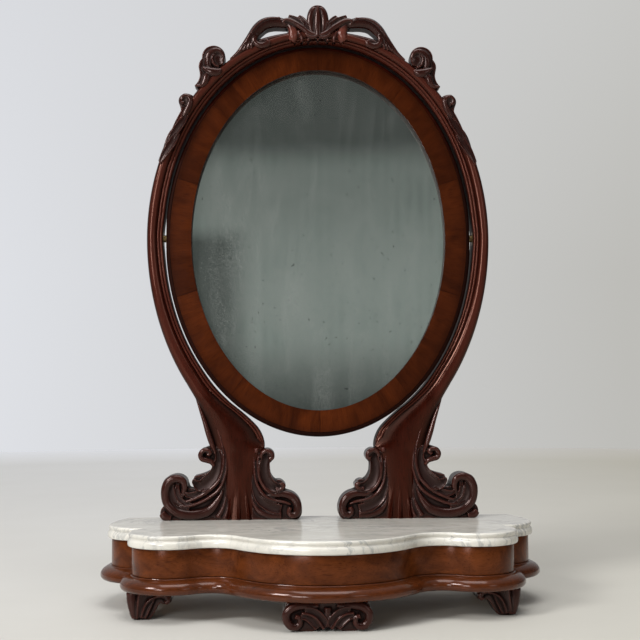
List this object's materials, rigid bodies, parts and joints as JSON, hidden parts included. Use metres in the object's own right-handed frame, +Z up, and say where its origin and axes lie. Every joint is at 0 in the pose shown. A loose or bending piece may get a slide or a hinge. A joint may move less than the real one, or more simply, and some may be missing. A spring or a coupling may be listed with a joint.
{
  "type": "dressing table mirror",
  "caption": "Carved mahogany dressing table mirror: oval glass tilting between scrolled uprights on a serpentine marble-topped base with a frieze drawer.",
  "frame": {"origin": "middle of the object's footprint, on the surface that it stands on", "axes": "+Z up; the mirror faces -Y, towards the sitter; +X is to the sitter's right"},
  "size_m": [0.64, 0.3059, 0.9],
  "materials": {
    "carved_mahogany": "dark French-polished carved mahogany",
    "frame_mahogany": "polished red-brown mahogany",
    "veneer_mahogany": "polished cross-banded mahogany veneer",
    "frieze_mahogany": "polished mottled mahogany",
    "moulding_mahogany": "glossy polished mahogany",
    "carcass_pine": "unpolished aged pine",
    "white_marble": "polished white marble with grey veins",
    "silvered_glass": "aged silvered glass with haze and spots",
    "brass_fittings": "dulled brass",
    "dark_iron": "darkened iron"
  },
  "bodies": {
    "drawer": {"right_drawer_side": "carcass_pine", "left_drawer_side": "carcass_pine", "drawer_front": "frieze_mahogany", "drawer_back": "carcass_pine", "drawer_bottom": "carcass_pine"},
    "mirror": {"mirror_frame": "frame_mahogany", "veneer_band": "veneer_mahogany", "mirror_glass": "silvered_glass", "glass_wedges": "carcass_pine", "backboard": "carcass_pine", "backboard_screws": "dark_iron", "right_mirror_plate": "brass_fittings", "left_mirror_plate": "brass_fittings", "mirror_plate_screws": "brass_fittings"},
    "stand": {"right_outer_leaf": "carved_mahogany", "left_outer_leaf": "carved_mahogany", "right_inner_leaf": "carved_mahogany", "left_inner_leaf": "carved_mahogany", "right_crest_scroll": "carved_mahogany", "left_crest_scroll": "carved_mahogany", "right_shoulder_volute": "carved_mahogany", "left_shoulder_volute": "carved_mahogany", "right_husk": "carved_mahogany", "left_husk": "carved_mahogany", "right_front_foot": "carved_mahogany", "left_front_foot": "carved_mahogany", "centre_front_foot": "carved_mahogany", "crest_palmette": "carved_mahogany", "right_upright": "frame_mahogany", "left_upright": "frame_mahogany", "top_arch": "frame_mahogany", "right_side_frieze": "frieze_mahogany", "left_side_frieze": "frieze_mahogany", "right_base_moulding": "moulding_mahogany", "left_base_moulding": "moulding_mahogany", "base_moulding_front": "moulding_mahogany", "right_back_foot": "carcass_pine", "left_back_foot": "carcass_pine", "base_board": "carcass_pine", "back_rail": "carcass_pine", "rear_bearer": "carcass_pine", "drawer_runners": "carcass_pine", "drawer_stops": "carcass_pine", "arch_dowels": "carcass_pine", "marble_top": "white_marble", "right_pivot_plate": "brass_fittings", "left_pivot_plate": "brass_fittings", "right_pivot_pin": "brass_fittings", "left_pivot_pin": "brass_fittings", "post_plate_screws": "brass_fittings", "upright_bolts": "dark_iron", "upright_washers": "dark_iron"}
  },
  "joints": [
    {"name": "mirror_tilt", "type": "hinge", "parent": "stand", "child": "mirror", "pos_m": [0, 0.124, 0.5385], "axis": [1, 0, 0], "continuous": true},
    {"name": "drawer_slide", "type": "slide", "parent": "stand", "child": "drawer", "axis": [0, -1, 0], "range_m": [0, 0.12]}
  ]
}
